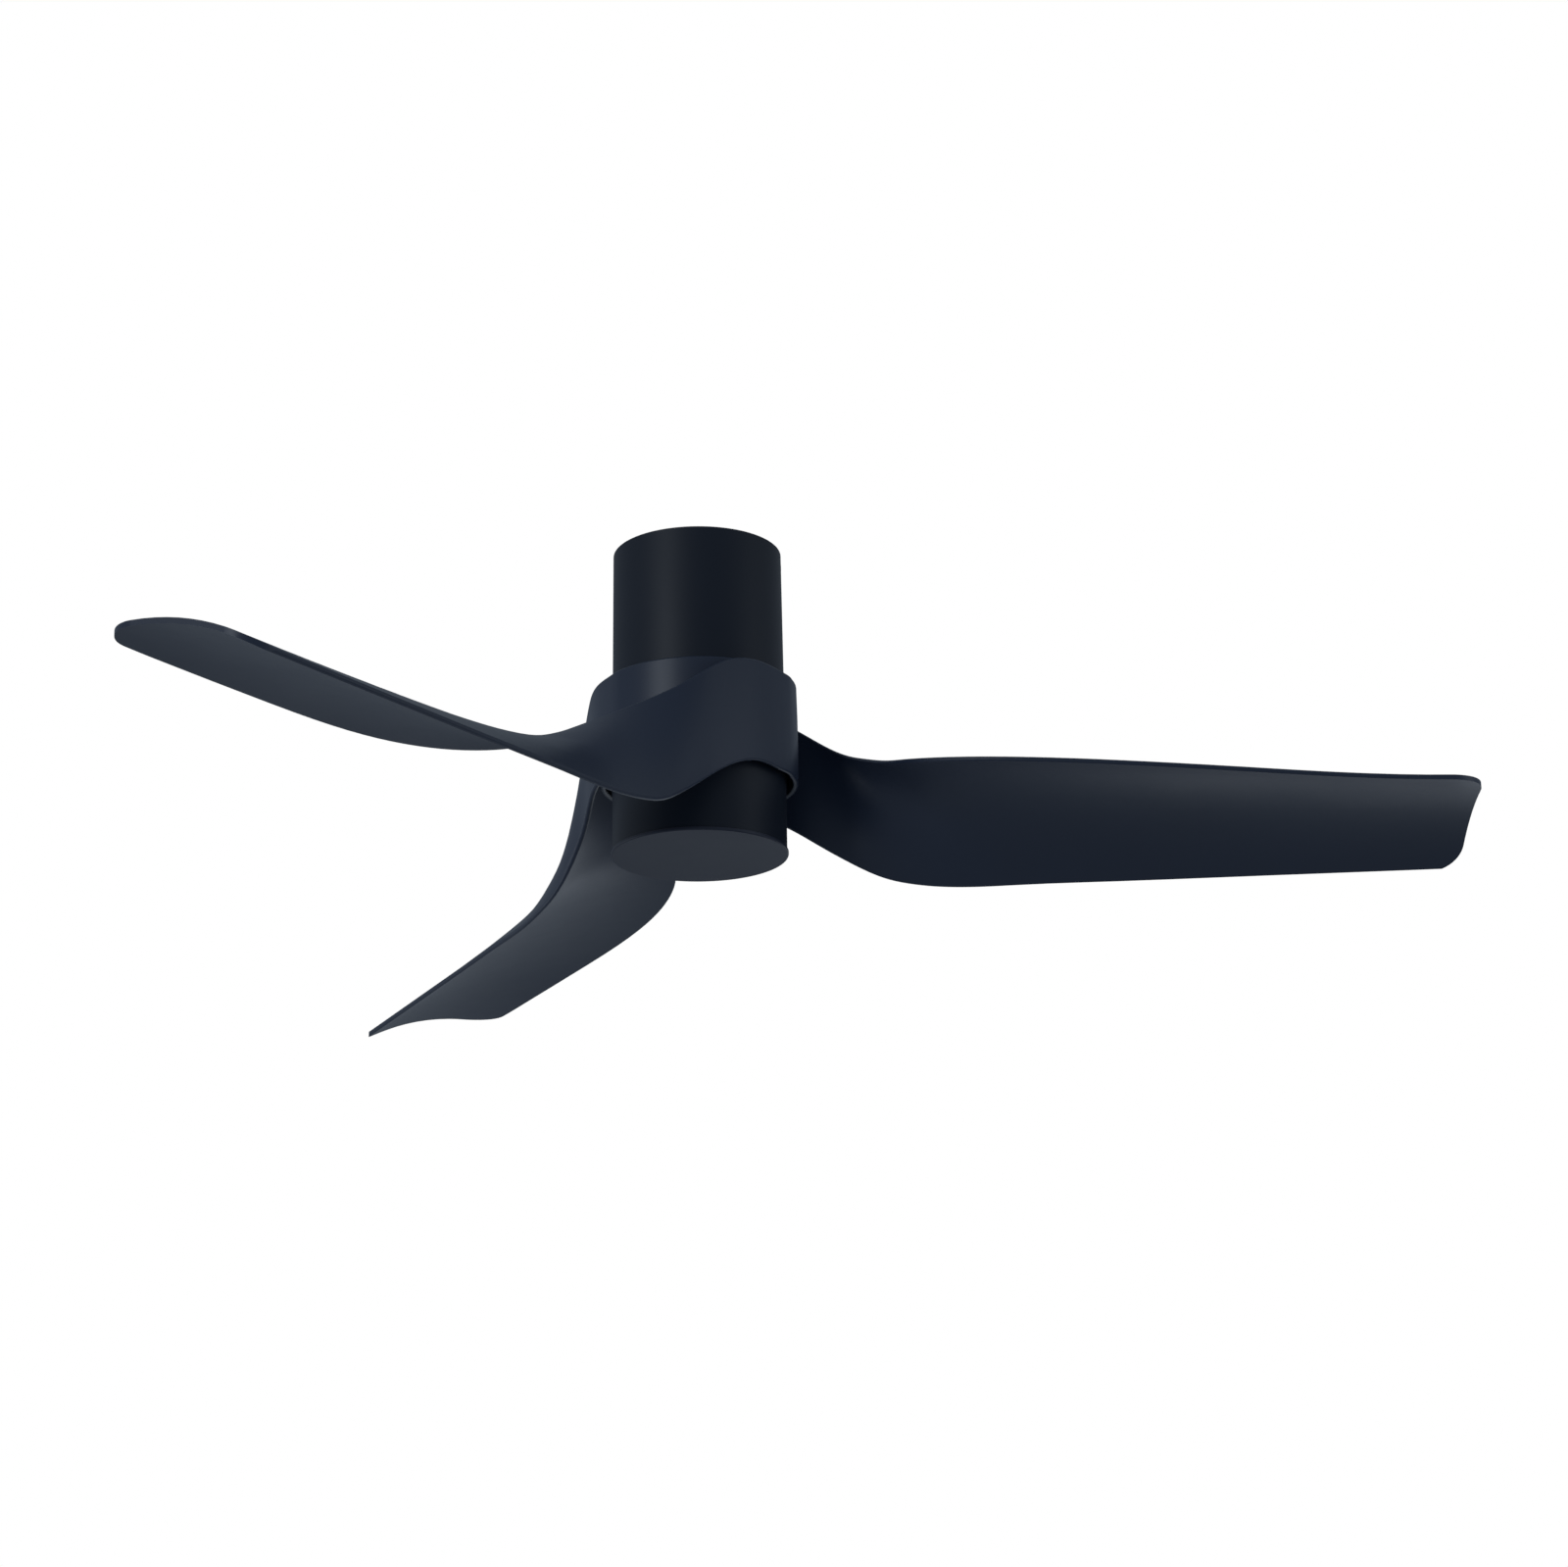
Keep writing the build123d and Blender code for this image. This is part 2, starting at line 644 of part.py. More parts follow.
with BuildPart() as rotor_housing:
    with BuildSketch(Plane.XZ):
        with BuildLine():
            Polyline(
                (lip_hole_r, rotor_top),
                (rotor_flange_r, rotor_top),
                (rotor_flange_r, rotor_flange_low),
                (rotor_wall_r, rotor_flange_low),
                (rotor_wall_r, rotor_cover_top),
                (rotor_inside_r, rotor_cover_top),
                (rotor_inside_r, rotor_flange_low),
                (seat_r, rotor_flange_low),
                (seat_r, upper_bearing_low - seat_over),
                (bearing_r, upper_bearing_low - seat_over),
                (bearing_r, upper_bearing_top),
                (lip_hole_r, upper_bearing_top),
                close=True,
            )
        make_face()
    revolve(axis=Axis.Z)
    for angle in blade_screw_angles:
        with Locations(Location((0, 0, rotor_top), (0, 0, angle))):
            with Locations((blade_screw_circle_r, 0, 0)):
                Cylinder(m4[0], rotor_flange_thickness, align=FLAT_TOP, mode=Mode.SUBTRACT)
    with PolarLocations(cover_screw_circle_r, cover_screw_count):
        with Locations((0, 0, rotor_cover_top)):
            Cylinder(m3[0], cover_screw_depth + cut_over, align=FLAT_BOTTOM, mode=Mode.SUBTRACT)

with BuildPart() as rotor_cover:
    with BuildSketch(Plane.XZ):
        with BuildLine():
            Polyline(
                (lip_hole_r, rotor_low),
                (rotor_wall_r, rotor_low),
                (rotor_wall_r, rotor_cover_top),
                (seat_r, rotor_cover_top),
                (seat_r, lower_bearing_top + seat_over),
                (bearing_r, lower_bearing_top + seat_over),
                (bearing_r, lower_bearing_low),
                (lip_hole_r, lower_bearing_low),
                close=True,
            )
        make_face()
    revolve(axis=Axis.Z)
    rotor_low_rims = rotor_cover.edges().filter_by(GeomType.CIRCLE).group_by(Axis.Z)[0]
    fillet(rotor_low_rims.sort_by(SortBy.RADIUS)[-1:], cup_round)
    with PolarLocations(cover_screw_circle_r, cover_screw_count):
        with Locations((0, 0, rotor_low)):
            Cone(m3[1], m3[0], m3[1] - m3[0], align=FLAT_BOTTOM, mode=Mode.SUBTRACT)
            Cylinder(m3[0], rotor_cover_thickness, align=FLAT_BOTTOM, mode=Mode.SUBTRACT)

rotor_screw = sunk_screw(m3, rotor_cover_thickness + cover_screw_depth).rotate(Axis.X, 180)
with BuildPart() as rotor_cover_screws:
    with PolarLocations(cover_screw_circle_r, cover_screw_count):
        with Locations((0, 0, rotor_low)):
            add(rotor_screw)

back_iron_half = stator_height / 2 + coil_end
with BuildPart() as back_iron:
    with BuildSketch(Plane.XY.offset(stator_middle - back_iron_half)):
        Circle(rotor_inside_r)
        Circle(magnet_outer_r, mode=Mode.SUBTRACT)
    extrude(amount=2 * back_iron_half)

with BuildPart() as rotor_magnets:
    with BuildSketch(Plane.XY.offset(stator_low)):
        Circle(magnet_outer_r)
        Circle(magnet_outer_r - magnet_thickness, mode=Mode.SUBTRACT)
        with PolarLocations(magnet_outer_r, magnet_count):
            Rectangle(4 * magnet_thickness, magnet_split, mode=Mode.SUBTRACT)
    extrude(amount=stator_height)

# ---------------------------------------------------------------- blades
# Each blade starts as an arc of the collar, leaves it along a tangent and twists into a
# cambered ribbon. Its two edges are drawn through a few stations; heights count from the
# collar's lower edge.
wall_middle = blade_thickness / 2
edge_round = blade_thickness * 0.35
band_flange_inner_r = rotor_wall_r + running_gap
tuck_angle = degrees(acos(1 - (blade_thickness + 2 * running_gap) / collar_low_r))
band_arc = 360 / blade_count - (first_angle - 90) - tuck_angle


def ring_station(angle):
    """Lower and upper edge of the collar wall at a plan angle."""
    across, along = cos(radians(angle)), sin(radians(angle))
    low_r, top_r = collar_low_r - wall_middle, collar_top_r - wall_middle
    return (low_r * across, low_r * along, 0), (top_r * across, top_r * along, collar_height)


def ribbon_station(low_share, high_share):
    """A station of the twisting stretch. A share is (along, aside, height): how far the edge
    has come from where the collar ends, 0, to where the twist ends, 1."""
    side_r = collar_low_r - wall_middle
    low = (
        twist_end * low_share[0],
        side_r + (lead_offset - side_r) * low_share[1],
        -lead_droop * low_share[2],
    )
    high = (
        twist_end * high_share[0],
        side_r - (side_r + trail_offset) * high_share[1],
        collar_height * (1 - high_share[2]),
    )
    return low, high


def blade_station(share, trail_aside, trail_height):
    """A station of the straight blade, share 0 where the twist ends and 1 at the tip."""
    along = twist_end + share * (tip_reach - twist_end)
    return (along, lead_offset, -lead_droop), (along, -trail_aside, trail_height)


stations = [
    ring_station(first_angle),
    ring_station((first_angle + 90) / 2),
    ring_station(90),
    ribbon_station((0.13, 0.1, 0), (0.14, 0.005, 0)),
    ribbon_station((0.25, 0.75, 0.1), (0.27, 0.04, 0.06)),
    ribbon_station((0.37, 1.6, 0.3), (0.42, 0.09, 0.28)),
    ribbon_station((0.485, 1.8, 0.52), (0.55, 0.185, 0.52)),
    ribbon_station((0.6, 1.7, 0.715), (0.66, 0.365, 0.71)),
    ribbon_station((0.71, 1.4, 0.865), (0.755, 0.57, 0.875)),
    ribbon_station((0.83, 1.1, 0.95), (0.85, 0.75, 0.99)),
    blade_station(0.0, 71.5, -6.5),
    blade_station(0.13, 88.5, -14.5),
    blade_station(0.31, 92.5, -22),
    blade_station(0.53, 84.5, -29),
    blade_station(0.76, 73, -35.5),
    blade_station(1.03, 67, -39),
]
low_edge = Spline([low for low, _ in stations])
high_edge = Spline([high for _, high in stations])


def smooth_step(share):
    """0 below 0, 1 above 1, and an even curve between."""
    share = min(max(share, 0), 1)
    return share * share * (3 - 2 * share)


def section_at(share):
    """The plane through both edges, square to the way the blade runs, the chord and camber."""
    low = low_edge @ share
    chord = high_edge @ share - low
    run = low_edge % share + high_edge % share
    normal = run - chord * (run.dot(chord) / chord.dot(chord))
    plane = Plane(origin=low + Vector(0, 0, collar_low), x_dir=chord, z_dir=normal)
    rise = smooth_step((share - camber_starts) / (camber_peaks - camber_starts))
    fall = smooth_step((share - camber_peaks) / (1 - camber_peaks))
    camber = camber_root + (camber_full - camber_root) * rise - (camber_full - camber_tip) * fall
    return plane, chord.length, camber


def section_sketch(share):
    """The blade's section: a thin cambered strip with rounded edges."""
    plane, length, camber = section_at(share)
    with BuildSketch(plane) as section:
        with BuildLine():
            outer = ThreePointArc(
                (edge_round, -wall_middle),
                (length / 2, -wall_middle - camber),
                (length - edge_round, -wall_middle),
            )
            inner = ThreePointArc(
                (length - edge_round, wall_middle),
                (length / 2, wall_middle - camber),
                (edge_round, wall_middle),
            )
            ThreePointArc(outer @ 1, (length, 0), inner @ 0)
            ThreePointArc(inner @ 1, (0, 0), outer @ 0)
        make_face()
    return section.sketch


outline_start = outline_share * tip_reach
far = 3 * lead_offset  # well outside the blade on every side

with BuildPart() as blade_ribbon:
    loft(sections=[section_sketch(step / section_count) for step in range(section_count + 1)])
    # The tip is trimmed to a slanted edge with two rounded corners.
    with BuildSketch(Plane.XY.offset(collar_low - 3 * lead_droop)):
        with BuildLine():
            FilletPolyline(
                (outline_start, far),
                (outline_start, lead_offset),
                (tip_reach - tip_slant, lead_offset),
                (tip_reach, -trail_at_tip),
                (outline_start, -trail_near_tip),
                (outline_start, -far),
                (-far, -far),
                (-far, far),
                radius=[0, 0, lead_corner_r, trail_corner_r, 0, 0, 0, 0],
                close=True,
            )
        make_face()
    extrude(amount=collar_height + 6 * lead_droop, mode=Mode.INTERSECT)

# The root is the arc of the collar, with a flange that screws to the rotor's flange.
with BuildPart() as blade_root:
    revolve(section_sketch(0), axis=Axis.Z, revolution_arc=band_arc)
    with BuildSketch(Plane.XZ.rotated((0, 0, first_angle))):
        with Locations((band_flange_inner_r, rotor_flange_low)):
            Rectangle(
                collar_top_r - wall_middle - band_flange_inner_r,
                band_flange_thickness,
                align=(Align.MIN, Align.MAX),
            )
    revolve(axis=Axis.Z, revolution_arc=band_arc)
    for step in range(blade_screws_per_blade):
        angle = first_angle + step * blade_screw_step
        with Locations(Location((0, 0, rotor_flange_low), (0, 0, angle))):
            with Locations((blade_screw_circle_r, 0, 0)):
                Cylinder(
                    m4[0] + slip, band_flange_thickness, align=FLAT_TOP, mode=Mode.SUBTRACT
                )

blades = {}
for number in range(blade_count):
    with BuildPart() as blade:
        with Locations(Location((0, 0, 0), (0, 0, number * 360 / blade_count))):
            add(blade_ribbon.part)
            add(blade_root.part)
    blades[f"blade_{number + 1}"] = blade

blade_screw = pan_screw(m4, band_flange_thickness + rotor_flange_thickness).rotate(Axis.X, 180)
with BuildPart() as blade_screws:
    for angle in blade_screw_angles:
        with Locations(Location((0, 0, rotor_flange_low - band_flange_thickness), (0, 0, angle))):
            with Locations((blade_screw_circle_r, 0, 0)):
                add(blade_screw)

# ---------------------------------------------------------------- light can
# Fixed under the rotor by the shaft nut; three posts inside carry the light tray.
with BuildPart() as light_can:
    with BuildSketch(Plane.XZ):
        with BuildLine():
            Polyline(
                (shaft_r, can_top),
                (can_r, can_top),
                (can_r, can_low),
                (can_inside_r, can_low),
                (can_inside_r, can_top_low),
                (shaft_r, can_top_low),
                close=True,
            )
        make_face()
    revolve(axis=Axis.Z)
    can_top_rims = light_can.edges().filter_by(GeomType.CIRCLE).group_by(Axis.Z)[-1]
    fillet(can_top_rims.sort_by(SortBy.RADIUS)[-1:], cup_round)
    with PolarLocations(tray_circle_r, tray_screw_count, start_angle=tray_first_screw):
        with Locations((0, 0, can_top_low)):
            Cylinder(tray_post_r, tray_drop, align=FLAT_TOP)
        with Locations((0, 0, can_top_low - tray_drop)):
            Cylinder(m3[0], tray_drop / 3, align=FLAT_BOTTOM, mode=Mode.SUBTRACT)
    with GridLocations(0, driver_width + driver_ear, 1, 2):
        with Locations((driver_offset, 0, can_top_low)):
            Cylinder(m3[0], can_top_thickness * 0.7, align=FLAT_BOTTOM, mode=Mode.SUBTRACT)

# ---------------------------------------------------------------- light engine
with BuildPart() as led_driver:
    with Locations((driver_offset, 0, can_top_low)):
        Box(driver_length, driver_width, driver_height, align=FLAT_TOP)
    fillet(led_driver.edges().filter_by(Axis.Z), driver_corner_r)
    fillet(led_driver.faces().sort_by(Axis.Z)[0].edges(), driver_edge_r)
    with Locations((driver_offset, 0, can_top_low)):
        Box(driver_ear, driver_width + 2 * driver_ear, driver_ear_thickness, align=FLAT_TOP)
        with GridLocations(0, driver_width + driver_ear, 1, 2):
            Cylinder(m3[0] + slip, driver_ear_thickness, align=FLAT_TOP, mode=Mode.SUBTRACT)

driver_screw = pan_screw(m3, driver_ear_thickness + can_top_thickness * 0.6).rotate(Axis.X, 180)
with BuildPart() as driver_screws:
    with Locations((driver_offset, 0, can_top_low - driver_ear_thickness)):
        with GridLocations(0, driver_width + driver_ear, 1, 2):
            add(driver_screw)

with BuildPart() as led_tray:
    with BuildSketch(Plane.XY.offset(tray_low)):
        Circle(tray_r)
        with PolarLocations(tray_circle_r, tray_screw_count, start_angle=tray_first_screw):
            Circle(m3[0] + slip, mode=Mode.SUBTRACT)
        with PolarLocations(board_screw_circle_r, board_screw_count):
            Circle(m3[0], mode=Mode.SUBTRACT)
        Circle(lead_offset_in_bore * 2, mode=Mode.SUBTRACT)
    extrude(amount=tray_thickness)
    tray_rims = led_tray.faces().sort_by(Axis.Z)[0].edges()
    fillet(tray_rims.sort_by(SortBy.RADIUS)[-1:], rim_round)

tray_screw = pan_screw(m3, tray_thickness + tray_drop / 4).rotate(Axis.X, 180)
with BuildPart() as tray_screws:
    with PolarLocations(tray_circle_r, tray_screw_count, start_angle=tray_first_screw):
        with Locations((0, 0, tray_low)):
            add(tray_screw)

with BuildPart() as led_board:
    with BuildSketch(Plane.XY.offset(tray_low - board_thickness)):
        Circle(board_r)
        with PolarLocations(board_screw_circle_r, board_screw_count):
            Circle(m3[0] + slip, mode=Mode.SUBTRACT)
    extrude(amount=board_thickness)

board_screw = pan_screw(m3, board_thickness + tray_thickness).rotate(Axis.X, 180)
with BuildPart() as board_screws:
    with PolarLocations(board_screw_circle_r, board_screw_count):
        with Locations((0, 0, tray_low - board_thickness)):
            add(board_screw)

with BuildPart() as led_packages:
    for ring_r, ring_count in led_rings.items():
        with PolarLocations(ring_r, ring_count, start_angle=180 / ring_count):
            with Locations((0, 0, tray_low - board_thickness)):
                Box(led_size, led_size, led_height, align=FLAT_TOP)

# ---------------------------------------------------------------- bayonet ring and light cover
# The ring sits in the can's mouth. Each lug of the cover rests in a groove and leaves it
# through a slot, once the cover has been twisted clockwise as seen from above.
ring_inner_r = cover_skirt_r + lug_gap
groove_outer_r = cover_skirt_r + lug_reach + lug_gap
ring_low = cover_top + 2 * twist_gap
ring_height = cover_skirt_height - 2 * twist_gap
lug_low = cover_top + cover_skirt_height / 2
groove_low = lug_low - twist_gap
groove_height = lug_height + 2 * twist_gap


def ring_sector(inner_r, outer_r, start, arc, low, height):
    """A solid arc of a ring, from a start angle onwards."""
    with BuildPart() as sector:
        with BuildSketch(Plane.XZ.rotated((0, 0, start))):
            with Locations((inner_r, low)):
                Rectangle(outer_r - inner_r, height, align=(Align.MIN, Align.MIN))
        revolve(axis=Axis.Z, revolution_arc=arc)
    return sector.part


with BuildPart() as bayonet_ring:
    with BuildSketch(Plane.XY.offset(ring_low)):
        Circle(can_inside_r)
        Circle(ring_inner_r, mode=Mode.SUBTRACT)
    extrude(amount=ring_height)
    for lug in range(lug_count):
        lug_start = first_lug + lug * 360 / lug_count - (lug_angle + lug_play) / 2
        groove_start = lug_start - cover_twist
        groove_arc = lug_angle + lug_play + cover_twist
        groove = ring_sector(
            ring_inner_r - cut_over,
            groove_outer_r,
            groove_start,
            groove_arc,
            groove_low,
            groove_height,
        )
        slot = ring_sector(
            ring_inner_r - cut_over,
            groove_outer_r,
            groove_start,
            lug_angle + lug_play,
            ring_low - cut_over,
            groove_low + groove_height - ring_low + cut_over,
        )
        add([groove, slot], mode=Mode.SUBTRACT)

with BuildPart() as light_cover:
    with BuildSketch(Plane.XY.offset(cover_low)):
        Circle(cover_r)
    extrude(amount=cover_thickness)
    fillet(light_cover.faces().sort_by(Axis.Z)[0].edges(), cover_thickness * 0.4)
    fillet(light_cover.faces().sort_by(Axis.Z)[-1].edges(), cover_thickness * 0.2)
    with BuildSketch(Plane.XY.offset(cover_top)):
        Circle(cover_skirt_r)
        Circle(cover_skirt_r - cover_skirt_wall, mode=Mode.SUBTRACT)
    extrude(amount=cover_skirt_height)
    for lug in range(lug_count):
        lug_start = first_lug + lug * 360 / lug_count - lug_angle / 2
        cover_lug = ring_sector(
            cover_skirt_r - cover_skirt_wall / 2,
            cover_skirt_r + lug_reach,
            lug_start,
            lug_angle,
            lug_low,
            lug_height,
        )
        add(cover_lug)

# ---------------------------------------------------------------- leads inside the shaft
motor_lead_end = coil_inner_r
light_lead_level = shaft_low - lead_bend_r
light_lead_end = driver_offset - driver_length / 2

with BuildPart() as motor_lead:
    with BuildLine():
        FilletPolyline(
            (-lead_offset_in_bore, 0, module_low + lead_start),
            (-lead_offset_in_bore, 0, motor_lead_level),
            (-motor_lead_end, 0, motor_lead_level),
            radius=lead_bend_r,
        )
    with BuildSketch(Plane.XY.offset(module_low + lead_start)):
        with Locations((-lead_offset_in_bore, 0)):
            Circle(motor_lead_r)
    sweep()

with BuildPart() as light_lead:
    with BuildLine():
        FilletPolyline(
            (lead_offset_in_bore, 0, module_low + lead_start),
            (lead_offset_in_bore, 0, light_lead_level),
            (light_lead_end, 0, light_lead_level),
            radius=lead_bend_r,
        )
    with BuildSketch(Plane.XY.offset(module_low + lead_start)):
        with Locations((lead_offset_in_bore, 0)):
            Circle(light_lead_r)
    sweep()

# ---------------------------------------------------------------- files
pieces = {
    "mounting_bracket": mounting_bracket,
    "upper_housing": upper_housing,
    "housing_screws": housing_screws,
    "control_case": control_case,
    "control_lid": control_lid,
    "control_board": control_board,
    "control_screws": control_screws,
    "terminal_block": terminal_block,
    "terminal_screws": terminal_screws,
    "mount_plate": mount_plate,
    "isolation_bushes": isolation_bushes,
    "bush_screws": bush_screws,
    "stator_shaft": stator_shaft,
    "shaft_flange_screws": shaft_flange_screws,
    "shaft_sleeves": shaft_sleeves,
    "stator_key": stator_key,
    "shaft_washer": shaft_washer,
    "shaft_nut": shaft_nut,
    "stator_core": stator_core,
    "stator_coils": stator_coils,
    "bearing_inner_races": bearing_inner_races,
    "bearing_outer_races": bearing_outer_races,
    "bearing_balls": bearing_balls,
    "rotor_housing": rotor_housing,
    "rotor_cover": rotor_cover,
    "rotor_cover_screws": rotor_cover_screws,
    "back_iron": back_iron,
    "rotor_magnets": rotor_magnets,
    **blades,
    "blade_screws": blade_screws,
    "light_can": light_can,
    "led_driver": led_driver,
    "driver_screws": driver_screws,
    "led_tray": led_tray,
    "tray_screws": tray_screws,
    "led_board": led_board,
    "board_screws": board_screws,
    "led_packages": led_packages,
    "bayonet_ring": bayonet_ring,
    "light_cover": light_cover,
    "motor_lead": motor_lead,
    "light_lead": light_lead,
}
for name, piece in pieces.items():
    piece.part.label = name
    export_step(piece.part, f"parts/{name}.step")
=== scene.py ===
"""The looks of a flush ceiling fan with a light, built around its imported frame.

Metres, +Z up. The sections follow the fan as it is put together, from the ceiling down.
"""

import math

import bpy
from mathutils import Matrix, Vector


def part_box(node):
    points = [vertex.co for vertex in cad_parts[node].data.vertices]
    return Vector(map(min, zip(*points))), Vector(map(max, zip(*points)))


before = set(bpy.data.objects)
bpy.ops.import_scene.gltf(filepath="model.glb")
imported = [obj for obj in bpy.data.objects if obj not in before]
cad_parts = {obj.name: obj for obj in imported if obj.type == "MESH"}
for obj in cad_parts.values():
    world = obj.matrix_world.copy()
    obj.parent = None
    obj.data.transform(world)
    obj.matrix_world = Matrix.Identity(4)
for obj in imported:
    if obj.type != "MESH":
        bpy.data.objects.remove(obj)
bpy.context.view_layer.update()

# ---------------------------------------------------------------- ceiling bracket
# A pressed steel strap with a round hub, zinc plated after pressing. Two screws hold it to the
# ceiling box. The plating shows a faint spangle under fine handling scratches.


def shader_group(name, inputs, outputs):
    """An empty shader node group with these sockets, and its input and output nodes."""
    tree = bpy.data.node_groups.new(name, "ShaderNodeTree")
    kinds = {"colour": "NodeSocketColor", "value": "NodeSocketFloat", "vector": "NodeSocketVector"}
    for label, kind, start in inputs:
        socket = tree.interface.new_socket(label, in_out="INPUT", socket_type=kinds[kind])
        socket.default_value = start
    for label, kind in outputs:
        tree.interface.new_socket(label, in_out="OUTPUT", socket_type=kinds[kind])
    return tree, tree.nodes.new("NodeGroupInput").outputs, tree.nodes.new("NodeGroupOutput").inputs


def join(tree, source, socket):
    """Feeds a socket from another socket, or sets it to a plain value."""
    if isinstance(source, bpy.types.NodeSocket):
        tree.links.new(source, socket)
    else:
        socket.default_value = source


def add(tree, kind, feeds, **settings):
    """A node of a kind with its settings and its inputs fed. Gives back its outputs."""
    node = tree.nodes.new("ShaderNode" + kind)
    for name, value in settings.items():
        setattr(node, name, value)
    for name, source in feeds.items():
        join(tree, source, node.inputs[name])
    return node.outputs


def mixed(tree, share, first, second, how="MIX"):
    """One colour mixed into another by a share."""
    return add(tree, "Mix", {0: share, 6: first, 7: second}, data_type="RGBA", blend_type=how)[2]


def spread(tree, value, low, high, start=0.0, end=1.0):
    """A value from start to end taken to the range from low to high."""
    feeds = {"Value": value, "From Min": start, "From Max": end, "To Min": low, "To Max": high}
    return add(tree, "MapRange", feeds)[0]


def bumped(tree, height, depth, below=None):
    """A normal raised by a height from 0 to 1 that stands for a depth in metres."""
    feeds = {"Height": height, "Distance": depth, "Strength": 1.0}
    if below:
        feeds["Normal"] = below
    return add(tree, "Bump", feeds)[0]


def finish(name, roughness, metallic=0.0, **sockets):
    """A material with a Principled shader whose plain numbers are set here."""
    material = bpy.data.materials.new(name)
    material.use_nodes = True
    shader = material.node_tree.nodes["Principled BSDF"]
    shader.inputs["Roughness"].default_value = roughness
    shader.inputs["Metallic"].default_value = metallic
    for label, value in sockets.items():
        shader.inputs[label.replace("_", " ")].default_value = value
    return material, material.node_tree, shader.inputs


def use_group(tree, group, feeds):
    """Places a node group in a material, with its own values. Gives back its outputs."""
    node = tree.nodes.new("ShaderNodeGroup")
    node.node_tree = group
    for name, source in feeds.items():
        join(tree, source, node.inputs[name])
    return node.outputs


def object_place(tree):
    """The place on a piece, in metres from the origin."""
    return add(tree, "TexCoord", {})["Object"]


def grey(tree, value):
    """A value as a grey colour."""
    return add(tree, "CombineColor", {0: value, 1: value, 2: value})[0]


def added(tree, first, second):
    """The sum of two values."""
    return add(tree, "Math", {0: first, 1: second}, operation="ADD")[0]


def surface(tree, layer, shader):
    """Feeds a group's colour, roughness and normal to the shader."""
    join(tree, layer["Colour"], shader["Base Color"])
    join(tree, layer["Roughness"], shader["Roughness"])
    join(tree, layer["Normal"], shader["Normal"])


def dress(material, *names):
    """Puts a material on CAD nodes."""
    for name in names:
        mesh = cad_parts[name].data
        mesh.materials.clear()
        mesh.materials.append(material)


# Spangle: zinc crystals that differ a little in tone and gloss, under fine scratches.
spangle, given, result = shader_group(
    "zinc spangle",
    [
        ("Colour", "colour", (0.62, 0.63, 0.65, 1)),
        ("Crystals per Metre", "value", 160.0),
        ("Roughness", "value", 0.36),
        ("Scratch Depth", "value", 0.00001),
    ],
    [("Colour", "colour"), ("Roughness", "value"), ("Normal", "vector")],
)
place = object_place(spangle)
crystals = add(spangle, "TexVoronoi", {"Vector": place, "Scale": given["Crystals per Metre"]})
crystal_tone = add(spangle, "RGBToBW", {0: crystals["Color"]})[0]
plated_colour = mixed(spangle, 0.22, given["Colour"], grey(spangle, crystal_tone), "OVERLAY")
join(spangle, plated_colour, result["Colour"])
gloss_step = spread(spangle, crystal_tone, low=-0.07, high=0.07)
join(spangle, added(spangle, given["Roughness"], gloss_step), result["Roughness"])
stretched = add(spangle, "Mapping", {"Vector": place, "Scale": (30, 900, 900)})[0]
scratches = add(spangle, "TexNoise", {"Vector": stretched, "Scale": 1.0, "Detail": 3.0})[0]
join(spangle, bumped(spangle, scratches, given["Scratch Depth"]), result["Normal"])

zinc, tree, shader = finish("zinc plated steel", roughness=0.36, metallic=1.0)
surface(tree, use_group(tree, spangle, {}), shader)
dress(zinc, "mounting_bracket")

# ---------------------------------------------------------------- upper housing
# One drafted aluminium casting, powder coated in satin, very dark navy. Two countersunk
# screws, painted to match, hold it to the tabs of the bracket.

# Satin coat: the soft waviness of a sprayed or moulded surface, with a fine grain on top.
satin, given, result = shader_group(
    "satin coat",
    [
        ("Colour", "colour", (0.02, 0.026, 0.038, 1)),
        ("Roughness", "value", 0.45),
        ("Waves per Metre", "value", 220.0),
        ("Wave Depth", "value", 0.00002),
        ("Grains per Metre", "value", 2600.0),
        ("Grain Depth", "value", 0.000006),
    ],
    [("Colour", "colour"), ("Roughness", "value"), ("Normal", "vector")],
)
place = object_place(satin)
clouds = add(satin, "TexNoise", {"Vector": place, "Scale": 7.0, "Detail": 3.0})[0]
clouded = mixed(satin, 0.12, given["Colour"], grey(satin, clouds), "OVERLAY")
join(satin, clouded, result["Colour"])
rub = spread(satin, clouds, low=-0.035, high=0.035, start=0.3, end=0.7)
join(satin, added(satin, given["Roughness"], rub), result["Roughness"])
wave_feeds = {"Vector": place, "Scale": given["Waves per Metre"], "Detail": 1.0}
waves = add(satin, "TexNoise", wave_feeds)[0]
grain_feeds = {"Vector": place, "Scale": given["Grains per Metre"], "Detail": 2.0}
grains = add(satin, "TexNoise", grain_feeds)[0]
peel = bumped(satin, waves, given["Wave Depth"])
join(satin, bumped(satin, grains, given["Grain Depth"], peel), result["Normal"])


def coat(name, colour, roughness, group_values=(), **sockets):
    """A material with the satin coat. Group values change the group's own inputs."""
    sockets.setdefault("Specular_IOR_Level", 0.35)
    material, tree, shader = finish(name, roughness, **sockets)
    feeds = {"Colour": colour, "Roughness": roughness, **dict(group_values)}
    surface(tree, use_group(tree, satin, feeds), shader)
    return material


navy = (0.0065, 0.0105, 0.0195, 1)
navy_paint = coat("satin navy paint", navy, 0.5, Specular_IOR_Level=0.25)
dress(navy_paint, "upper_housing")
dress(coat("painted screw", navy, 0.4, {"Waves per Metre": 900.0}), "housing_screws")

